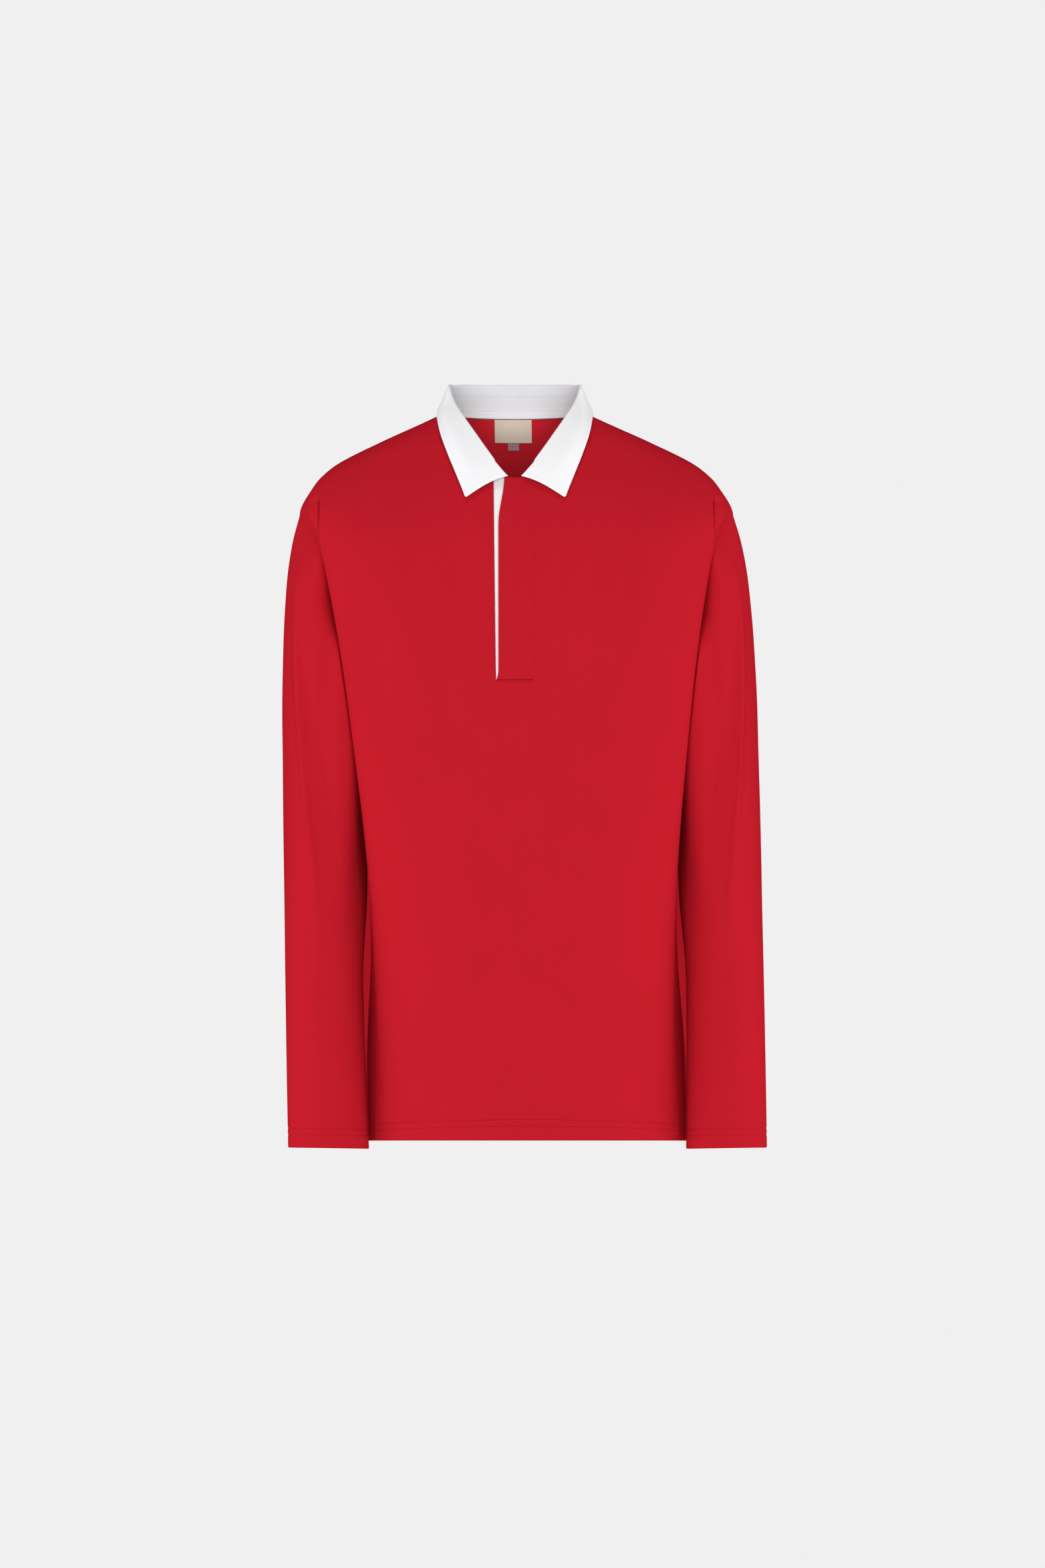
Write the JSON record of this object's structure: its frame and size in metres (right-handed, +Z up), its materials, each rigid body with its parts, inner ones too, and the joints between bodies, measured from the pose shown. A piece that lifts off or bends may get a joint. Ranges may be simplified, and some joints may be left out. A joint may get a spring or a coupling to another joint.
{
  "type": "polo shirt",
  "caption": "Long-sleeved jersey polo shirt, hollow and filled out as if worn, with a fold-over contrast collar and a neck placket.",
  "frame": {"origin": "middle of the neck base, level with the back neck seam, where the wearer's neck carries the shirt", "axes": "+Z up, the wearer faces -Y, +X is the wearer's left"},
  "size_m": [0.4891, 0.2586, 0.778],
  "materials": {
    "red_jersey": "matt single jersey, fine knit",
    "white_jersey": "matt white jersey, fine knit",
    "neck_tape": "white cotton tape",
    "beige_label": "plain beige woven label, bare",
    "grey_label": "plain grey woven tab, bare"
  },
  "bodies": {
    "root": {"front": "red_jersey", "back": "red_jersey", "sleeve_left": "red_jersey", "sleeve_right": "red_jersey", "placket_over": "red_jersey", "placket_facing": "white_jersey", "placket_under": "white_jersey", "collar_stand": "white_jersey", "collar_leaf": "white_jersey", "neck_tape": "neck_tape", "neck_label": "beige_label", "size_label": "grey_label"}
  },
  "joints": []
}
